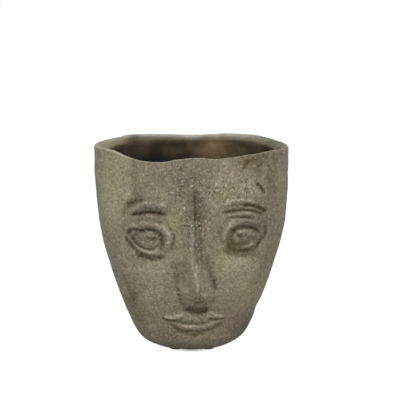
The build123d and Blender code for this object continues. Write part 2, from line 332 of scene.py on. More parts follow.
# %% Model the brows
for row in (
    # left
    (1.7, 2.8, [(-49, 122.6), (-45.5, 126.6), (-41, 129.2), (-35, 130.6), (-28, 131.5), (-22, 131.2),
        (-17.6, 129.2)]),
    (0.6, 0.9, [(-44.5, 131.2), (-39, 132.4), (-33.7, 133.2), (-29.4, 134), (-24.8, 133.9), (-21, 132.7),
        (-17.2, 130.2)]),
    (-1.9, 1.2, [(-48.5, 123.4), (-41.7, 124.8), (-35, 125.6), (-30, 126), (-24.2, 125.6), (-20.4, 124.7),
        (-18, 123.6)]),
    (0.5, 1.6, [(-23.4, 129.3), (-18, 129.4)], 0.5), (0.4, 0.6, [(-24, 127.4), (-18.6, 127.5)]),
    (0.7, 2, [(-50, 118.6), (-41, 121), (-32, 122), (-22, 121.2)]),
    (-0.7, 2.2, [(-53.8, 119.5), (-52.8, 125), (-50.6, 129.6), (-47, 132.8), (-43.5, 134.8), (-38.2, 136.2),
        (-35, 135.6)]),
    # right
    (1.1, 1.5, [(23.2, 130.6), (25.6, 132.8), (28.4, 134.3), (31.5, 135.2), (38.3, 135.2), (43.7, 134.4),
        (47.3, 133.3), (52.5, 131)]),
    (-1.3, 1.3, [(38, 131.4), (40.9, 131), (47.4, 130.2), (52.2, 128.3), (57, 125), (58.6, 122.6)]),
    (-0.6, 1.7, [(51.5, 127.6), (55.4, 125.6), (58, 122.6)]),
    (0.7, 1.3, [(26, 130), (32, 130), (39, 129.6), (46, 128.5), (52, 126.2)]),
    (-1.4, 1.3, [(22, 126.2), (29.3, 126.6), (35.7, 127.2), (40.9, 127.4), (46.2, 126.3), (51.6, 124.1),
        (57.1, 121.5)]),
    (0.9, 1.1, [(33, 124.2), (36.7, 124.9), (40.3, 125.3), (45.7, 124.4), (51, 121.7)]),
    (-0.8, 0.9, [(26.1, 120.4), (30.6, 122.1), (35.8, 122), (43.6, 121.2), (48.4, 120)]),
):
    stroke(*row)
print("with the brows from", marks.min().round(1), "to", marks.max().round(1), "mm")

# %% [markdown]
# ## Mouth, cheeks and planes
# The lips are two leaf-shaped rolls on a low mound, which meet in a sagging line. The temples and the jaw
# were pressed flat, which leaves soft edges where the front of the face turns to its sides. A scratch over
# the right brow and a crease on the left jaw came with use.

# %% Model the mouth and cheeks
across = (X - 2) / 25
middle = np.clip(1 - across**2, 0, 1)
mouth_line = 36.7 - 3.6 * middle
upper_lip = np.clip(12 * middle - 5.5 * bell(X - 3, 5.5), 2.5, 20)
lower_lip = np.clip(6.8 * middle, 2, 20)
above, below = np.clip((Z - mouth_line) / upper_lip, 0, 1), np.clip((mouth_line - Z) / lower_lip, 0, 1)
lips = (1.5 * np.sin(above**0.8 * np.pi) + 2 * np.sin(below * np.pi)) * np.sqrt(middle)
relief += blurred(lips, 0.7) + 2.4 * bell(np.hypot(X - 3, (Z - 37) * 1.1), 20)
for cheek_x, cheek_z in ((-33, 76), (35, 77)):
    relief += 1.5 * bell(np.hypot(X - cheek_x, Z - cheek_z), 15)
for row in (
    # lips
    (-1.3, 0.9, [(-24, 36.4), (-19.3, 35.7), (-15, 35.2), (-12.6, 35.5)]),
    (-0.7, 0.8, [(-14, 35.3), (-10.3, 36.6), (-6.4, 38.2)]),
    (-0.4, 0.8, [(-12.6, 34.6), (-9.5, 33.6), (-1.8, 32.8), (6, 32.8), (11.8, 34.2), (15, 35)]),
    (-1, 0.9, [(12.4, 38.2), (16.9, 37), (22.8, 36.2), (27, 37)]),
    (1, 1.3, [(-22.4, 37.8), (-16, 38), (-12, 39), (-7, 42.6)]),
    (1, 1.2, [(12, 44.8), (16.4, 42.4), (20.7, 40.1), (26.4, 38.6)]),
    (0.8, 1.4, [(-12, 31.2), (-6.8, 30.4), (-1, 30.4), (6.4, 30.9), (15, 31.4), (19, 32.5)]),
    (-0.9, 1.3, [(-18.6, 32), (-13.1, 28.4), (-10, 26.2), (-6.9, 25.4), (0, 26), (8, 25.8), (15, 27.4),
        (22.1, 31), (25.4, 34)]),
    (-0.8, 2.4, [(-14, 26.8), (-5, 23.6), (5, 23), (14, 25.4)]),
    (-0.5, 1.1, [(-18.5, 51.8), (-21, 48.6), (-22, 44.4), (-21.6, 40.5)]),
    # temples, jaw and scratch
    (-0.7, 3.2, [(-44, 168), (-44, 155), (-43.4, 144), (-46, 134), (-51, 127)]),
    (-0.5, 3, [(64.5, 169), (64.9, 148), (64.5, 132)]),
    (-0.35, 2.2, [(-55, 73), (-52.3, 67), (-49.7, 59), (-47, 54), (-44, 49)]),
    (0.5, 1.6, [(-46.5, 58), (-43.5, 49), (-40.4, 41)]),
    (-1.7, 1.15, [(49.8, 148.6), (52.4, 145.2), (55.2, 141.4), (56.6, 138.4)], 0.12),
):
    stroke(*row)
print("with mouth and cheeks the map reaches", relief.max().round(1), "mm")

# %% [markdown]
# ## Dirt, painted shade and painted highlights in the lines
# Cement dust, soil and algae settled beside the rolls and in the tool lines, so those are darker than
# their depth alone explains, and the same dark strokes paint the shade beside the rolls and under the nose
# and the lips. Pale strokes on the tops of the rolls and lids are painted highlights where the light from
# above catches them. The same strokes draw both: a dark share above 0, and a pale place below 0.

# %% Lay the dirt, the painted shade and the painted highlights
# Dark strokes are dirt and painted shade beside the rolls and under the nose and lips, and pale strokes are
# mostly painted highlights on the tops of the rolls and lids
for row in (
    # brow on the left
    (0.3, 2.8, [(-46, 126.4), (-38, 128.4), (-32, 128.6), (-26, 128.6), (-19, 128)]),
    (0.5, 3, [(-53, 127.6), (-50, 131), (-46, 133.8), (-42, 135.2), (-36, 136)]),
    (0.3, 1.6, [(-53.6, 118.6), (-53, 123), (-51.6, 127)]),
    (0.65, 1.3, [(-48, 123.6), (-41.7, 124.7), (-30, 126), (-24.2, 125.5), (-19, 124.2)]),
    (0.35, 2, [(-46, 120.6), (-37.5, 122), (-28.2, 122.6), (-20, 121.7)]),
    (-0.55, 0.9, [(-44.5, 128), (-38.3, 132.1), (-31.8, 134.3), (-24.1, 134.6), (-19, 133), (-16, 129.6),
        (-15.8, 126)]),
    (-1, 1.1, [(-24.4, 132.2), (-21.4, 132)]),
    # eye on the left
    (0.75, 2.1, [(-50.6, 106.6), (-49, 109), (-46.6, 110.8), (-43, 111)]),
    (0.6, 1.7, [(-42, 110.8), (-38.6, 110.2), (-34, 110.8)]),
    (0.45, 2, [(-35, 112.6), (-30, 112.6), (-25.8, 110.8), (-23.6, 107)]),
    (0.5, 1.2, [(-23.5, 107), (-22.4, 102.5), (-23.2, 98), (-26, 95.6)]),
    (0.3, 1, [(-46.2, 107), (-45.5, 102.2), (-42.2, 99.1), (-38.9, 96.9), (-34.3, 95.4), (-30, 95.8)]),
    (0.5, 2.1, [(-52.4, 105), (-49.6, 100.6), (-46.6, 97.6), (-43, 94.6)]),
    (1, 2.4, [(-45, 92.4), (-38, 89.4), (-32.6, 88.2), (-26, 89.2), (-20.6, 91)]),
    (0.5, 1.8, [(-29.8, 108.4), (-27, 106.6), (-26.4, 103)]), (-0.25, 3, [(-41, 104), (-37, 103)]),
    (0.25, 1.7, [(-18.5, 115.8), (-15.4, 110.4), (-14.2, 105.6), (-15.4, 101.2)]),
    (0.4, 1.2, [(-33.6, 107), (-30.3, 104.4), (-27, 106)]),
    (-0.45, 0.9, [(-49.3, 111.6), (-46.5, 115), (-39.8, 117.6), (-33.3, 118.1), (-28.2, 117.1),
        (-24, 114.6)]),
    (-0.55, 0.8, [(-50.1, 105.1), (-48.2, 100.4), (-43.6, 96.9), (-39, 94), (-33.7, 93.2), (-27, 94.8)]),
    (-0.5, 2.1, [(-23.7, 115.2), (-19.6, 111.5), (-17.5, 106.5), (-19.2, 100.6)]),
    (-0.5, 0.8, [(-33.4, 109.8), (-30, 110.2)]),
    # brow on the right
    (0.45, 2.6, [(27, 130), (33, 131), (40, 131), (48, 129.4), (55, 126)]),
    (0.6, 1.4, [(39, 131.4), (47.4, 130.4), (52.2, 128.5), (57, 125.1), (58.6, 122.8)]),
    (0.5, 1.4, [(22, 126.4), (29.3, 126.7), (38, 127.6), (46.2, 126.5), (51.6, 124.3), (57.4, 121.6)]),
    (0.4, 1, [(26, 120.6), (30.6, 122.2), (38, 122.1), (44, 121.4), (49, 120)]),
    (-0.4, 1.1, [(24.6, 131.4), (29.2, 134.4), (33, 135.4), (42.2, 134.7), (48, 133)]),
    (-0.3, 1, [(31.2, 125.2), (38.6, 125.2), (46.5, 124)]), (-0.3, 0.8, [(37.5, 120), (45.5, 119.3)]),
    # eye on the right
    (0.85, 1.5, [(31.4, 108), (33, 111.8), (37.2, 113.6), (41.8, 113.6), (46.5, 112.2), (49.8, 110.6),
        (53, 107.2)]),
    (0.5, 0.9, [(32, 108), (31.6, 104.4), (32, 101)]),
    (0.5, 1.2, [(55.9, 114.6), (57.8, 110.6), (58, 105.8), (55, 101.9), (52.2, 99.4), (50.8, 95)]),
    (0.9, 1.6, [(26.6, 95.2), (30, 94.2), (34, 93.6), (40, 92.8), (47, 93.4)]),
    (0.9, 2.3, [(28.4, 101.4), (29.2, 99.2), (30.6, 97)]),
    (0.8, 1.1, [(36.8, 100.8), (39.5, 100.4), (42.6, 100.6)]), (-0.5, 1.8, [(44.6, 99.4), (47.6, 100.4)]),
    (0.6, 1, [(34.4, 100.4), (37.6, 100.2)]), (0.5, 1.3, [(48.6, 92.6), (50, 89.6)]),
    (0.5, 1.1, [(28.6, 98.2), (31.6, 95.6), (37, 94.8), (42.7, 95)]),
    (0.9, 1.1, [(35, 109.4), (35.4, 107.6), (37.2, 106.6), (39.4, 107.8)]),
    (0.5, 1.1, [(43.6, 104.2), (46, 102.6)]), (0.45, 1, [(36.6, 102.4), (38.4, 101)]),
    (-0.6, 1.3, [(25.6, 109), (26.9, 113.2), (29.4, 116.2), (31.9, 118.4), (35.4, 119.2)]),
    (-0.3, 1.2, [(33, 97.6), (40, 96.6), (47, 98.8), (50, 96)]),
    # nose
    (0.6, 1.3, [(2.4, 147), (2.2, 137), (2.6, 129), (2.8, 118), (2.9, 104)]),
    (0.35, 3.5, [(3, 142), (3, 132), (4, 120)]),
    (0.55, 2.1, [(5.8, 126), (6, 114), (6.6, 104), (7.6, 94)]),
    (0.2, 1.2, [(7.4, 96), (8.8, 86), (9.6, 80)]), (0.3, 2.2, [(3.4, 106), (3.4, 96), (4.4, 85)]),
    (0.2, 3, [(-5, 92), (-6, 78), (-6.6, 66), (-6, 54)]),
    (0.14, 2.6, [(-10, 88), (-12.2, 78.5), (-11.6, 68), (-10.4, 60)]),
    (0.4, 0.9, [(-10.4, 60.8), (-9.8, 58)]), (0.25, 2.2, [(-10, 60), (-9, 54), (-6.5, 48)]),
    (0.3, 2.6, [(10.4, 93), (12.6, 83.5), (15.2, 74), (16.8, 66)]),
    (0.45, 1.5, [(16.8, 72), (18, 67), (18.4, 62)]), (0.1, 2.4, [(18.2, 62), (17, 55), (14, 49)]),
    (0.9, 2.3, [(-8.3, 46.2), (-4.1, 45.9), (0.2, 44.4), (4, 43.8), (9, 44.2), (13.4, 46.2)]),
    (0.7, 2, [(1.5, 44.6), (5, 44.2), (9, 44.8)]),
    (0.65, 2.8, [(-3.7, 48.3), (0.5, 47.6), (7, 47.8), (12.9, 48.4)]),
    (0.35, 1.3, [(-1.2, 77.5), (-0.6, 72), (-1.2, 66), (-1.3, 60), (-1, 52)]),
    (0.25, 1.2, [(-5.5, 86), (-5.6, 78), (-5.9, 70)]), (0.45, 2.2, [(0.6, 53.4), (3.8, 55), (7, 55.6)]),
    (0.5, 2.2, [(8.6, 53.2), (12, 53.4), (14.4, 54.6)]), (0.7, 1.1, [(0.3, 63.6), (1, 62.8)]),
    (0.7, 1.1, [(2.4, 63.6), (2.8, 62.4)]), (0.5, 1.1, [(5.5, 63.9), (6, 63)]),
    (0.5, 1.2, [(7, 61.8), (7.6, 60.4)]), (0.6, 1.1, [(2.4, 59.6), (2.8, 58)]),
    (0.5, 1.1, [(5.7, 59.7), (6.1, 58.3)]), (0.45, 0.8, [(6.6, 80), (7, 72), (7.3, 64.6)]),
    (0.45, 0.8, [(8.8, 79), (9.4, 71), (9.9, 64.6)]), (-0.45, 0.8, [(7.6, 80), (8.2, 71.5), (8.4, 65)]),
    (-0.4, 1, [(10.6, 80), (11.2, 74), (11.6, 67)]), (-0.35, 2.4, [(9, 62), (12, 58.6)]),
    (-0.2, 0.8, [(0.4, 112), (0.3, 98), (0.6, 88), (1.6, 80)]),
    (-0.35, 1.5, [(1.6, 82), (3.4, 75), (4.4, 69), (4.6, 63)]), (-0.3, 2.6, [(4, 86), (6, 76), (7, 66)]),
    (-0.25, 0.9, [(-2.6, 96), (-1.6, 87), (0.8, 80)]), (-0.4, 0.7, [(3.9, 125), (3.8, 118), (3.8, 109)]),
    # mouth
    (0.6, 1.1, [(-24, 36.4), (-19.3, 35.7), (-15, 35.2), (-12.6, 35.4)]),
    (0.35, 0.9, [(-14, 35.2), (-10.3, 36.6), (-6.4, 38.2)]),
    (0.25, 1, [(-12.4, 34.7), (-9.5, 33.6), (-1.8, 32.8), (6, 32.8), (11.8, 34.2)]),
    (0.45, 1, [(12.4, 38), (16.9, 37), (22.8, 36.1), (27, 37)]),
    (0.4, 1.8, [(-18.1, 31.8), (-13.1, 28.4), (-10, 26.2), (-6.9, 25.2), (1, 26), (11.1, 26), (18.9, 29),
        (24.8, 33.5)]),
    (0.5, 1, [(0.4, 34.7), (0.9, 34.5)]), (0.5, 1, [(3.4, 36.2), (4.6, 36)]),
    (0.5, 1, [(5.7, 37.6), (6.3, 38.4)]),
    (-0.6, 1.2, [(-21.8, 37.8), (-15.3, 38.2), (-12, 39.2), (-7.5, 42.4)]),
    (-0.6, 1.1, [(13, 44.2), (18, 41.4), (22, 39.6), (26.2, 38.7)]),
    (-0.4, 1.3, [(-11.5, 30.8), (-5, 30), (1.7, 30.7), (9.9, 31.1), (18.5, 32.3)]),
    # marks of use
    (0.2, 3, [(-55, 72), (-51.6, 65), (-48.6, 57), (-44, 46)]),
    (0.9, 1.1, [(50, 148.4), (52.6, 144.8), (55.4, 141), (56.4, 139)]),
    (-1.6, 1.1, [(-5.7, 129.3), (-4.9, 129.3)]), (-0.9, 0.9, [(-9.9, 124.4), (-8, 125), (-6.2, 127)]),
    (-0.9, 1.2, [(-11.2, 143.8), (-10.4, 143.8)]),
):
    stroke(*row, taper=0.15, layer=dirt_and_painted_light)
print("most dirt:", dirt_and_painted_light.max().round(2))

# %% Break the marks up and lay the sand on
# Light from above puts a groove's shadow over its middle, so the marks lie 0.8 mm lower than they look
marks = np.roll(marks, -2, axis=0)
# A tool line drawn through sandy clay is never even
relief += blurred(marks, 0.5) * (1 + 0.3 * uneven(5) + 0.25 * uneven(2.2))
# How sandy the skin is: a little everywhere, and more in patches
coarse_map = np.full_like(X, 0.12)
for share, x, z, half_width, half_height in (
    (0.9, -4, 150, 28, 20), (0.75, 34, 142, 20, 16), (0.9, 3, 120, 15, 24), (0.5, -36, 106, 20, 15),
    (0.5, 42, 106, 18, 15), (0.5, 6, 86, 9, 20), (0.6, 5, 56, 8, 9), (0.6, 2, 30, 12, 12),
    (0.35, 32, 86, 12, 8),
):
    distance = np.hypot((X - x) / half_width, (Z - z) / half_height)
    coarse_map = np.maximum(coarse_map, share * bell(distance, 1))
coarse_map *= np.clip(0.85 + 0.5 * uneven(14), 0.3, 1.3)
sand_map = 0.7 * uneven(1.5) + 0.35 * uneven(3)
relief += sand_map * (0.06 + 0.26 * coarse_map)
print("map reaches from", relief.min().round(1), "to", relief.max().round(1), "mm")

# %% [markdown]
# ## What the recesses hold, with painted shade and highlights
# Cement dust and dirt stay in the low places, and there the colour also paints the shade that falls in
# them; fingers polish the high ones, and the pale strokes add painted highlights. A blurred copy of the map
# tells them apart: where the map lies below its own blur it is a recess, and where it lies above it is an
# edge that wears.

# %% Recesses with painted shade, and worn edges with painted highlights, from the map
fine = relief - blurred(relief, 1.6)
broad = marks - blurred(marks, 4)
# Low places: dirt, and painted shade
recess_map = np.clip(-fine / 0.5, 0, 1) * 0.6 + np.clip(-broad / 1.6, 0, 1) * 0.3
broken = 0.95 + 0.35 * uneven(1.8) + 0.2 * uneven(5)
recess_map += np.clip(blurred(dirt_and_painted_light, 0.4), 0, 1) * broken
# High places: wear, and the pale strokes as painted highlights
wear_and_highlight_map = np.clip(fine / 0.5, 0, 1) * 0.4 + np.clip(broad / 2, 0, 1) * 0.2 + np.clip(-dirt_and_painted_light, 0, 1.5) * broken
print("share of the map in recesses:", (recess_map > 0.3).mean().round(3))

# %% [markdown]
# ## One closed skin
# The pot has an outside, a rounded rim, an inside, a floor and a drain hole, and all of it is one closed
# skin. We lay rings from the drain hole out under the base, up the wall, over the rim, down the inside and
# back to the hole. Each ring has the same number of points, so neighbours join in four-sided faces.
# The points are close together where the face is and far apart on the plain back.

# %% Columns round the pot
def spaced(values, spacing):
    """Picks places along values so that neighbours lie about as far apart as spacing says there."""
    steps = np.hypot(*np.diff(np.array(values[1:]), axis=1))
    wanted = np.concatenate([[0], np.cumsum(steps / ((spacing[1:] + spacing[:-1]) / 2))])
    count = int(round(wanted[-1]))
    return np.interp(np.arange(count) / count * wanted[-1], wanted, values[0])


fine_turns = np.linspace(0, 1, 6001)
plan_x, plan_y = plan_points(fine_turns)
front = fade(0.84 - abs(plan_x), 0.04) * (plan_y < 0)
side = (plan_y < 0.1) * (1 - front)
row_spacing = 0.78
column_spacing = row_spacing * front + 1.9 * side + 3.6 * (1 - front - side)
turns = spaced((fine_turns, plan_x * rim_width / 2, plan_y * rim_depth / 2), column_spacing)
print(len(turns), "columns")

# %% Rings from the drain hole to the rim and back
unit_x, unit_y = plan_points(turns)
circle_x, circle_y = np.sin(turns * 2 * np.pi), np.cos(turns * 2 * np.pi)
rim_top = rim_height(turns)
wall_top = pot_height - rim_rounding
rings = []


def add_ring(z, inset, zone, up, radius=0, round_share=0):
    """Adds one ring: its height, its distance in from the plain wall, its zone and the skin's slope.

    By round_share its shape goes over to a circle of this radius.
    """
    z = np.broadcast_to(np.asarray(z, float), turns.shape)
    half_width, half_depth = half_sizes(z, inset)
    x = unit_x * half_width * (1 - round_share) + circle_x * radius * round_share
    y = unit_y * half_depth * (1 - round_share) + circle_y * radius * round_share
    nx, ny = outward(unit_x * half_width, unit_y * half_depth, half_width, half_depth)
    flat = np.sqrt(np.clip(1 - np.asarray(up, float) ** 2, 0, 1))
    facing = -1 if zone in ("inside", "floor", "hole") else 1
    rings.append((x, y, z, nx * flat * facing, ny * flat * facing, np.broadcast_to(up, turns.shape), zone))


# Down the drain hole to its wider mouth, out under the base and round its edge
hole_rings = [(z, hole_radius) for z in (floor_z - 3, 9, 6, 4.4, 3.5)]
for z, radius in hole_rings + [(2.9, 6.6), (2.2, 7.3), (base_z, mouth_radius)]:
    add_ring(z, 0, "hole", 0, radius, 1)
for share in np.linspace(0.08, 0.94, 8):
    add_ring(base_z, base_rounding, "base", -1, mouth_radius, 1 - share)
for angle in np.linspace(0, np.pi / 2, 13)[:-1]:
    add_ring(base_z + base_rounding * (1 - np.cos(angle)), base_rounding * (1 - np.sin(angle)), "outside",
             -np.cos(angle))
# Up the wall, where the upper rows follow the rim's waves more and more
wall_low = base_z + base_rounding
rows = int(round((wall_top - wall_low) / row_spacing))
for share in np.linspace(0, 1, rows + 1):
    z = wall_low + (wall_top - wall_low) * share
    follow = np.clip((share - 0.6) / 0.4, 0, 1) ** 1.5
    add_ring(z + (rim_top - pot_height) * follow, 0, "outside", 0)
# The rim was rubbed down towards the inside: its outer edge is crisp, and its inner edge lies lower and
# follows only the four longest waves of the outer one
rim_drop, least_drop, inner_edge = 3.2, 1.6, 2.2
even_turns = np.arange(256) / 256
waves = np.fft.rfft(rim_height(even_turns))
waves[5:] = 0
calm = np.fft.irfft(waves)
rim_low = np.minimum(np.interp(turns, even_turns, calm, period=1) - rim_drop, rim_top - least_drop)
for angle in np.linspace(0, np.pi / 2, 6)[1:]:
    add_ring(rim_top - rim_rounding * (1 - np.sin(angle)), rim_rounding * (1 - np.cos(angle)), "rim",
             np.sin(angle))
slope_length = wall - rim_rounding - inner_edge
for share in np.linspace(0, 1, 8)[1:]:
    add_ring(rim_top + (rim_low - rim_top) * share**1.3, rim_rounding + slope_length * share, "rim", 0.96)
for angle in np.linspace(0, np.pi / 2, 5)[1:]:
    add_ring(rim_low - inner_edge * (1 - np.cos(angle)), wall - inner_edge * (1 - np.sin(angle)), "rim",
             np.cos(angle))
# Down the inside, over the floor and into the hole
inner_low = floor_z + inner_rounding
for share in np.linspace(0, 1, 45)[1:]:
    add_ring((rim_low - inner_edge) * (1 - share) + inner_low * share, wall, "inside", 0)
for angle in np.linspace(0, np.pi / 2, 10)[1:]:
    add_ring(floor_z + inner_rounding * (1 - np.sin(angle)), wall + inner_rounding * (1 - np.cos(angle)),
             "floor", np.sin(angle))
for share in np.linspace(0.15, 1, 8):
    add_ring(floor_z, wall + inner_rounding, "floor", 1, hole_radius + edge_rounding, share)
for z, radius in ((floor_z - 0.15, 6.15), (floor_z - 0.6, hole_radius)):
    add_ring(z, 0, "hole", 0, radius, 1)
print(len(rings), "rings,", len(rings) * len(turns), "points")

# %% [markdown]
# ## From rings to a cement surface
# Each point of the outer wall moves out by what the map says there. Then the whole skin gets what casting
# and handling leave: broad lumps, coarse sand that shows most on the forehead and the brows, and
# pinholes where air was trapped. The plain sizes leave room for the lumps.

# %% Move the points
px, py, pz, nx, ny, nz = (np.array([ring[i] for ring in rings]) for i in range(6))
zones = np.array([ring[6] for ring in rings])[:, None]


def from_map(field):
    """The map's value in front of each point, and 0 behind the pot's middle."""
    column = np.clip((px - map_x[0]) / map_step, 0, len(map_x) - 1.001)
    row = np.clip((pz - map_z[0]) / map_step, 0, len(map_z) - 1.001)
    i, j = column.astype(int), row.astype(int)
    u, v = column - i, row - j
    low = field[j, i] * (1 - u) + field[j, i + 1] * u
    high = field[j + 1, i] * (1 - u) + field[j + 1, i + 1] * u
    shown = (zones == "outside") & (py < 0)
    return (low * (1 - v) + high * v) * shown * fade(-py - 12, 4)


def lumps(size, shift=0):
    """Smooth random unevenness of about this size in millimetres, from -1 to 1."""
    values = [noise.noise(Vector((x / size + shift, y / size, z / size)))
              for x, y, z in zip(px.ravel(), py.ravel(), pz.ravel())]
    return np.array(values).reshape(px.shape)


on_rim = (zones == "rim") * np.ones_like(px)
outside = (zones == "outside") + on_rim
rough_skin = zones != "hole"
coarse = np.maximum(from_map(coarse_map), 0.3 * outside)
move = from_map(relief)
# The sides bulge a little more at eye height than the plain curve does, the jaw on the right has a dent,
# and the foot is drawn in
to_right, to_left = (np.clip(v, 0, 1) ** 3 * np.ones_like(px) for v in (unit_x, -unit_x))
sides = 1.5 * to_right * bell(pz - 110, 26) + 0.8 * to_left * bell(pz - 105, 22)
sides -= 1.5 * to_right * bell(pz - 37, 6) + 1.2 * (to_right + 0.6 * to_left) * bell(pz - 5, 5)
move += (zones == "outside") * sides
move += rough_skin * (0.55 * lumps(34) + 0.3 * lumps(13, 7) - 0.2)
move += rough_skin * 0.2 * lumps(2.1, 3)
move += rough_skin * (0.1 + 0.14 * coarse) * (lumps(1.1, 5) - 0.3)
print("the skin moves between", move.min().round(2), "and", move.max().round(2), "mm")

# %% Pinholes
rng = np.random.RandomState(12)
pit_count = 260
pit_turns, pit_heights = rng.rand(pit_count), rng.uniform(18, 166, pit_count)
pit_sizes, pit_depths = rng.uniform(0.5, 1.0, pit_count), rng.uniform(0.4, 1.0, pit_count)
pits = np.zeros_like(px)
pit_u, pit_v = plan_points(pit_turns)
for u, v, z, size, depth in zip(pit_u, pit_v, pit_heights, pit_sizes, pit_depths):
    half_width, half_depth = half_sizes(z)
    near = np.hypot(np.hypot(px - u * half_width, py - v * half_depth), pz - z) / size
    pits += depth * bell(near, 1) * outside
# One hole on the forehead is deeper than the rest
pits += 1.3 * bell(np.hypot(px - 12.9, pz - 145.2), 0.9) * outside * (py < 0)
move -= pits
print(pit_count, "pinholes")

# %% Build the mesh
px, py, pz = px + nx * move, py + ny * move, pz + nz * move
count_rings, count_turns = px.shape
points = np.stack([px, py, pz], -1).reshape(-1, 3) * MM
i, j = np.meshgrid(np.arange(count_rings), np.arange(count_turns), indexing="ij")
corner = i * count_turns + j
right = i * count_turns + (j + 1) % count_turns
above = (i + 1) % count_rings * count_turns + j
above_right = (i + 1) % count_rings * count_turns + (j + 1) % count_turns
faces = np.stack([corner, above, above_right, right], -1).reshape(-1, 4)
mesh = bpy.data.meshes.new("cement_head")
mesh.from_pydata(points.tolist(), [], faces.tolist())
mesh.validate()
mesh.polygons.foreach_set("use_smooth", [True] * len(mesh.polygons))
head = put("cement_head", mesh)
print("cement head:", len(mesh.vertices), "points,", len(mesh.polygons), "faces")

# %% [markdown]
# ## Where the cement is dark, worn, stained or damp, and where light and shade are painted
# A texture that repeats all over can't know where the nose is. So each point also carries a few numbers:
# its tone, which holds painted light and shade as well, and its tint, its sand, how deep it lies in a
# recess, how worn it is and where a painted highlight lies on it, how stained it is and where painted
# shadow lies, how coarse, and whether it is inside the pot, where wet soil has dyed the cement brown. The
# material reads them as attributes.

# %% Store the attributes
def blots(*rows):
    """Soft patches on the front: each has a strength, a middle at x and z, and its reach across and up."""
    field = sum(strength * np.exp(-(((px - x) / across) ** 2 + ((pz - z) / up) ** 2))
                for strength, x, z, across, up in rows)
    return field * (py < 0)


# Brown stains from soil and water, and painted shadow under the nose tip
stain = blots(
    (0.22, 57, 160, 8, 12), (0.5, 45, 162, 8, 6), (0.5, 40, 165, 4, 3), (0.9, 39, 163, 2.4, 4),
    (0.35, 52, 161, 4, 8), (0.7, 50, 167, 12, 3.5), (0.4, 60, 150, 4, 8), (1, 30, 101, 4.6, 4.8),
    (0.8, 29, 94.5, 4.6, 3), (0.9, 37, 94.4, 10, 3), (0.5, 37, 89.4, 8, 3), (0.9, 39, 100.4, 7, 1.8),
    (0.5, 48, 91, 4, 4), (0.8, 6, 55, 7, 4.5), (0.9, 6, 46, 8, 3), (0.4, 3, 62, 4, 4), (0.25, 9, 62, 5, 5),
    (0.8, 3, 22, 4, 2), (0.35, -52, 112, 5, 8), (0.3, 5, 131, 5, 10), (0.3, -50, 56, 8, 14),
    (0.35, -16, 22, 9, 7), (0.3, 45, 102, 8, 5), (0.3, -44, 155, 3, 12), (0.4, 4, 23, 32, 11),
    (0.28, 61, 142, 7, 24), (0.35, -49, 52, 5, 13), (0.3, -42, 33, 5, 8), (0.3, 36, 28, 10, 8),
)
# Lighter and darker patches on the front: some are the cement's own tone, and many are painted light and
# shade, such as painted shade under the nose tip, in the creases beside the nose, round the eyes and on the
# lower right side, and painted light on the left temple and the right edge
tone = blots(
    (-0.22, -4, 152, 20, 14), (-0.25, 3, 130, 9, 16), (0.18, 30, 146, 14, 11), (0.22, 32, 84, 14, 14),
    (0.38, -64, 140, 14, 34), (-0.28, 5, 47, 9, 5), (-0.12, -34, 30, 14, 14), (0.22, 76, 118, 9, 44),
    (0.28, -32, 78, 14, 14), (0.12, 42, 66, 12, 12), (-0.3, 43, 104, 11, 7), (-0.5, -35, 103.5, 11, 7.5),
    (0.18, -4, 68, 5, 15), (0.12, 46, 52, 10, 12), (-0.44, -34, 129, 15, 5), (-0.1, 42, 127, 16, 7),
    (-0.3, 40, 18, 12, 8), (0.2, 30, 72, 12, 14), (0.37, 0, 24, 28, 9), (-0.35, 46, 26, 5, 14),
    (-0.12, -49, 52, 5, 13), (-0.12, 5, 80, 7, 22), (-0.3, 17, 70, 3.5, 12), (0.12, 10.5, 68, 3, 10),
    (0.04, 57, 140, 7, 22), (-0.14, 62, 112, 7, 14), (0.02, 30, 30, 10, 8), (0.16, 1, 39, 20, 4),
    (0.1, -52, 60, 7, 16), (-0.28, -41, 118.6, 9, 3.5), (0.4, -15, 116.6, 4, 6), (0.26, -15, 88, 5, 4),
    (-0.2, 3, 99, 4, 8), (-0.26, 49, 118, 9, 4), (0.26, 19, 59, 5, 7), (0.22, 57, 149, 4, 5),
    (0.22, 46, 143, 5, 5), (0.26, -33, 99.5, 7, 4), (-0.22, -40, 144, 6, 5), (0.42, -52, 59, 7, 8),
    (0.5, 46, 99.6, 4, 3), (-0.25, -47, 106, 4, 5), (-0.25, -37, 84, 8, 3.5), (0.2, 28, 61, 8, 6),
    (0.2, -33, 52, 6, 6), (0.2, -49, 138, 5, 5), (-0.2, 3, 101, 3.5, 5), (-0.25, 52, 112, 5, 5),
    (-0.25, -47, 94, 5, 6), (-0.25, -40, 87.4, 6, 4), (0.22, -28, 62, 6, 12), (-0.2, -3, 113, 5, 6),
    (-0.2, 21, 109, 5, 5), (0.24, 15, 51.4, 5, 4), (0.15, 39, 150, 5, 5), (1, -5.3, 129.3, 0.9, 0.9),
    (0.4, -10.8, 143.8, 1.3, 1.3), (0.3, -8, 125.6, 2.2, 1), (0.3, 19, 148.6, 1, 1),
)
# Above 0 the cement is tinted mauve, and below 0 green
tint = blots(
    (0.55, -10, 152, 16, 12), (0.6, 14, 114, 9, 8), (0.35, -22, 72, 16, 14), (1, 33, 33, 14, 13),
    (0.7, -14, 24, 12, 11), (0.3, -56, 62, 6, 9), (0.4, 30, 155, 12, 5), (0.3, 12, 66, 5, 8),
    (-0.6, 28, 88, 9, 8), (-0.5, -62, 140, 12, 34), (-0.4, 20, 140, 14, 10), (-0.5, -5, 56, 4, 10),
    (-0.5, -44, 40, 9, 14), (-0.4, 42, 62, 12, 12), (-0.45, -12, 118, 9, 10), (-0.5, 66, 145, 6, 16),
    (-0.6, 8, 13, 12, 6), (-0.4, -9, 95, 4, 8), (-0.3, -34, 104, 12, 8), (-0.4, -40, 150, 6, 12),
)
inside = ((zones == "inside") | (zones == "floor") | (zones == "hole")) * np.ones_like(px)
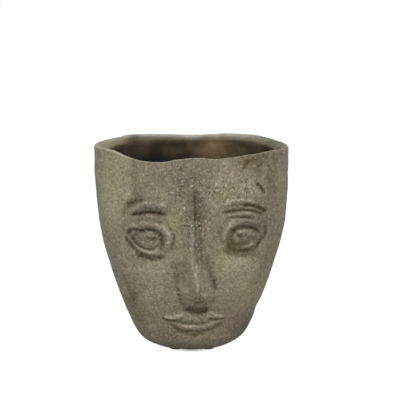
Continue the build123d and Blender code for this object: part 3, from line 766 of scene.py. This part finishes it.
# Painted shade: the rounded foot faces down, and the more it faces down the darker it is painted
tone = tone * outside - 0.85 * np.clip(-nz, 0, 1) ** 1.3 * outside
tone -= on_rim * (0.25 * to_right + 0.04) * fade(py, 15)
# Inside, light from the front falls on the middle of the back wall, and both ends lie in shade
tone += inside * (1.1 * bell(px - 28, 20) * bell(pz - 160, 18) - 0.14 - 0.15 * bell(px - 60, 12)
                  - 0.4 * bell(px + 36, 30) - 0.45 * fade(154 - pz, 2.5))
depth_below_rim = np.broadcast_to(rim_top, px.shape) - pz
# Wet soil dyed the wall up to this depth below the rim's top: less at the left end and at two places on
# the back wall, and more in its left corner
dirt_line = rim_top - rim_low - 0.7 + 2.5 * np.clip(-unit_x, 0, 1) ** 8 + 1.5 * lumps(9, 11)
dirt_line += (2 * bell(px - 50, 14) + 1.8 * bell(px - 1, 8) - 2 * bell(px + 52, 8)) * (py > 0)
inside = np.maximum(inside, on_rim) * fade(depth_below_rim - dirt_line, 2)
# The outer edge of the rim is paler at the front, and the whole top of the rim at the back: rubbed wear, and
# a painted highlight where the light from above catches the rim
front_edge_wear_and_highlight = on_rim * fade(1.1 - depth_below_rim, 0.3) * fade(-py, 10) * (1 - to_right)
top_wear_and_highlight = on_rim * fade(2 - depth_below_rim, 1) * fade(py - 6, 20) * (1 - to_right)
attributes = {
    "tone": tone,
    "tint": tint * outside - 0.6 * on_rim * (to_left + to_right),
    "sand": from_map(sand_map),
    "recess": np.clip(from_map(recess_map) + pits * 0.6, 0, 1),
    "worn": np.clip(from_map(wear_and_highlight_map) + 0.6 * front_edge_wear_and_highlight, 0, 1),
    "stain": np.clip(stain * outside, 0, 1),
    "inside": inside,
    "coarse": coarse,
    "rim": top_wear_and_highlight,
}
for name, values in attributes.items():
    layer = mesh.attributes.new(name, "FLOAT", "POINT")
    layer.data.foreach_set("value", values.ravel().astype(np.float32))
    print(name, "mean", values.mean().round(3))

# %% [markdown]
# ## Cast cement
# The real stuff is cement mortar: grey-brown paste with sand in it, poured and left unsealed, so it is a
# rough, matt, non-metallic surface. Its IOR is about 1.55 and its roughness close to 0.9. What the eye
# sees is, from large to small: tone patches some 30 mm wide where it dried unevenly, mottling of 8 mm,
# and sand that shows as light and dark specks. Real sand is 0.5 to 1.5 mm; we draw it at 1.3 to 1.8 mm,
# because finer grain than a pixel of the picture doesn't show. Dirt and painted shade darken the recesses,
# rubbed edges and painted highlights are paler, brown stains came from soil and water, and painted
# shadow lies under the nose. The tone that each point carries adds more painted light and shade.

# %% Make the cement
cement, tree = new_material("cast_cement_unsealed")
coordinates = add_node(tree, "TexCoord", out="Object")


def patchy(size_mm, detail, low, high, least=0.0, most=1.0, roughness=0.5):
    """A share from least to most in patches of about this size, where noise goes from low to high."""
    field = add_node(tree, "TexNoise", Vector=coordinates, Scale=1 / (size_mm * MM), Detail=detail,
                     Roughness=roughness)
    return add_node(tree, "MapRange", Value=field, From_Min=low, From_Max=high, To_Min=least, To_Max=most)


def stored(name, share=1.0):
    """A number that each point carries, times a share."""
    number = add_node(tree, "Attribute", {"attribute_name": name}, "Fac")
    return add_node(tree, "Math", {"operation": "MULTIPLY"}, _0=number, _1=share)


across = add_node(tree, "SeparateXYZ", out="X", Vector=coordinates)
greener = add_node(tree, "MapRange", Value=across, From_Min=-0.045, From_Max=-0.082, To_Max=0.5)
damp_share = patchy(22, 4, 0.4, 0.65)
damp = add_node(tree, "Mix", {"data_type": "RGBA"}, 2, _0=damp_share, _6="#372d1a", _7="#5e4e39")
# The stored tone, with its painted light and shade, as a grey about one half
tone_and_painted_light = add_node(tree, "MapRange", Value=stored("tone"), From_Min=-1)
sand_tone = add_node(tree, "MapRange", Value=stored("sand"), From_Min=-1, To_Min=0.32, To_Max=0.66)
# The sand shows where the skin is coarse, and not on the damp inside
dry = add_node(tree, "MapRange", Value=stored("inside"), To_Min=1, To_Max=0)
sandy = add_node(tree, "MapRange", Value=stored("coarse"), From_Max=0.8, To_Min=0.16)
specks = add_node(tree, "Math", {"operation": "MULTIPLY"}, _0=sandy, _1=dry)
dark_sand, light_sand = (
    add_node(tree, "Math", {"operation": "MULTIPLY"}, _0=share, _1=specks)
    for share in (patchy(1.8, 1, 0.58, 0.65, 0, 0.7), patchy(1.6, 1, 0.64, 0.7, 0, 0.5))
)
print("shares and tones:", len(tree.nodes), "nodes")

# %% Lay the colours over each other
# A colour, the share by which it covers what lies under it, and the way it blends
colour = "#7e7562"
for over, share, blend in (
    ("#908773", patchy(34, 3, 0.35, 0.65), "MIX"),
    ("#726a56", patchy(8, 4, 0.35, 0.65, 0, 0.75), "MIX"),
    ("#b5b0aa", stored("rim", 0.9), "MIX"),
    # The far left of the pot is greener, and mauve and green patches lie all over
    ("#868773", greener, "MIX"),
    ("#7e6f60", stored("tint"), "MIX"),
    ("#7e7d5e", stored("tint", -1), "MIX"),
    # Wear and painted highlights, dirt and painted shade, and stains with painted shadow are broken up by
    # noise, as they are on a rough skin
    ("#aba18f", stored("worn", patchy(3, 2, 0.3, 0.7, 0.35, 0.8)), "MIX"),
    ("#41371f", stored("recess", patchy(2.6, 2, 0.3, 0.6, 0.6)), "MIX"),
    ("#514428", stored("stain", patchy(4, 4, 0.35, 0.6, 0.45)), "MIX"),
    (damp, stored("inside"), "MIX"),
    # Overlay on a grey of one half leaves a colour as it is, and a darker or paler grey scales it
    (tone_and_painted_light, 1, "OVERLAY"),
    (sand_tone, specks, "OVERLAY"),
    (patchy(1.6, 2, 0.34, 0.66, 0.28, 0.65, 0.6), specks, "OVERLAY"),
    ("#453d31", dark_sand, "MIX"),
    ("#b4ada1", light_sand, "MIX"),
):
    settings = {"data_type": "RGBA", "blend_type": blend}
    colour = add_node(tree, "Mix", settings, 2, _0=share, _6=colour, _7=over)
print("with the colours:", len(tree.nodes), "nodes")

# %% Give the cement its roughness
# Sand and shallow dents, up to 0.6 mm high
fine_sand = add_node(tree, "TexNoise", Vector=coordinates, Scale=1 / (1.3 * MM), Detail=3, Roughness=0.7)
dents = add_node(tree, "TexNoise", Vector=coordinates, Scale=1 / (5 * MM), Detail=3)
height = add_node(tree, "Math", {"operation": "MULTIPLY_ADD"}, _0=dents, _1=0.8, _2=fine_sand)
bump = add_node(tree, "Bump", Strength=0.6, Distance=0.6 * MM, Height=height)
shader = add_node(tree, "BsdfPrincipled", Base_Color=colour, Roughness=0.93, IOR=1.55, Normal=bump,
                  Specular_IOR_Level=0.3)
add_node(tree, "OutputMaterial", Surface=shader)
mesh.materials.append(cement)
print("the whole cement:", len(tree.nodes), "nodes")

# %% Put the head in the frame
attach(head, "planter")
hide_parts("planter_body")

# %% [markdown]
# ## Rubber stopper and feet
# The stopper is moulded EPDM rubber: nearly black, with a dull sheen where the mould was smooth and grey
# dust from the cement. The feet are punched from a sheet of rubber. Both shapes are right in the CAD
# model, so the solids stay and only get a finish. Rubber has an IOR of about 1.52 and a roughness from
# 0.5 to 0.8.

# %% Make the rubbers
def rubber(name, colour, dust, roughness, dust_size):
    """Dark rubber with dust in patches of dust_size millimetres."""
    material, tree = new_material(name)
    coordinates = add_node(tree, "TexCoord", out="Object")
    patches = add_node(tree, "TexNoise", Vector=coordinates, Scale=1 / (dust_size * MM), Detail=4)
    share = add_node(tree, "MapRange", Value=patches, From_Min=0.45, From_Max=0.75, To_Max=0.5)
    tone = add_node(tree, "Mix", {"data_type": "RGBA"}, 2, _0=share, _6=colour, _7=dust)
    dull = add_node(tree, "MapRange", Value=share, To_Min=roughness, To_Max=0.95)
    pebble = add_node(tree, "TexNoise", Vector=coordinates, Scale=1 / (0.5 * MM), Detail=2)
    bump = add_node(tree, "Bump", Strength=0.25, Distance=0.1 * MM, Height=pebble)
    shader = add_node(tree, "BsdfPrincipled", Base_Color=tone, Roughness=dull, IOR=1.52, Normal=bump)
    add_node(tree, "OutputMaterial", Surface=shader)
    return material


finishes = {
    "drain_plug": rubber("moulded_rubber", "#26241f", "#6b6355", 0.5, 4),
    "rubber_foot": rubber("punched_sheet_rubber", "#2b2a28", "#5a5347", 0.7, 3),
}
for name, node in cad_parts.items():
    for start, finish in finishes.items():
        if name.startswith(start):
            for slot in node.material_slots:
                slot.material = finish
            print(name, "is", finish.name)

# %% [markdown]
# ## Floor, light and camera
# The pot was photographed on plain white under soft light, which leaves only a faint shadow. A soft lamp
# high in front gives the relief its shape, a weak one at the right and an even white surrounding fill the
# shadows. The floor reaches the camera nearly white and still takes the shadow.

# %% Floor and surroundings
def seen_directly(tree):
    """1 on the camera's own rays, and on those through glass or off a mirror, and 0 on all others."""
    share = add_node(tree, "LightPath", out="Is Camera Ray")
    for kind in ("Is Glossy Ray", "Is Transmission Ray"):
        ray = add_node(tree, "LightPath", out=kind)
        share = add_node(tree, "Math", {"operation": "MAXIMUM"}, _0=share, _1=ray)
    return share


floor_mesh = bpy.data.meshes.new("floor")
floor_mesh.from_pydata([(-4, -4, 0), (4, -4, 0), (4, 8, 0), (-4, 8, 0)], [], [(0, 1, 2, 3)])
floor = put("floor", floor_mesh)
paper, tree = new_material("white_paper")
shade = add_node(tree, "BsdfDiffuse", Color="#606060")
# Under the pot no light reaches the paper, so its glow stops there
place = add_node(tree, "TexCoord", out="Object")
from_middle = add_node(tree, "VectorMath", {"operation": "LENGTH"}, "Value", _0=place)
open_paper = add_node(tree, "MapRange", Value=from_middle, From_Min=0.016, From_Max=0.025, To_Max=0.97)
glow = add_node(tree, "Emission", Color="#ffffff", Strength=open_paper)
lit = add_node(tree, "AddShader", _0=shade, _1=glow)
bounce = add_node(tree, "BsdfDiffuse", Color="#c8c8c8")
paper_mix = add_node(tree, "MixShader", _0=seen_directly(tree), _1=bounce, _2=lit)
add_node(tree, "OutputMaterial", Surface=paper_mix)
floor_mesh.materials.append(paper)

world = bpy.data.worlds.new("studio")
bpy.context.scene.world = world
world.use_nodes = True
tree = world.node_tree
tree.nodes.clear()
white = add_node(tree, "Background", Color="#ffffff", Strength=1.0)
fill = add_node(tree, "Background", Color="#ffffff", Strength=0.55)
world_mix = add_node(tree, "MixShader", _0=seen_directly(tree), _1=fill, _2=white)
add_node(tree, "OutputWorld", Surface=world_mix)
print("stage is set")


# %% Lamps and camera
def soft_lamp(name, place, size, watts):
    """A round lamp that points at the middle of the pot."""
    lamp = bpy.data.lights.new(name, "AREA")
    lamp.shape, lamp.size, lamp.energy = "DISK", size, watts
    holder = put(name, lamp)
    holder.location = place
    holder.rotation_euler = (Vector((0, 0, 0.09)) - Vector(place)).to_track_quat("-Z", "Y").to_euler()


soft_lamp("key", (-0.15, -0.8, 1.2), 0.5, 13)
soft_lamp("front_fill", (0.6, -1.4, 0.4), 0.9, 5)

# A long lens from 0.85 m, a little above the rim, so the crown shows as a flat oval
camera_data = bpy.data.cameras.new("camera")
camera_data.sensor_width, camera_data.lens = 36, 91.08
camera = put("camera", camera_data)
camera.location = (0, -0.8302, 0.2675)
target = Vector((0.00697, 0.0082, 0.1221))
camera.rotation_euler = (target - camera.location).to_track_quat("-Z", "Y").to_euler()
bpy.context.scene.camera = camera
bpy.context.scene.view_settings.view_transform = "Standard"
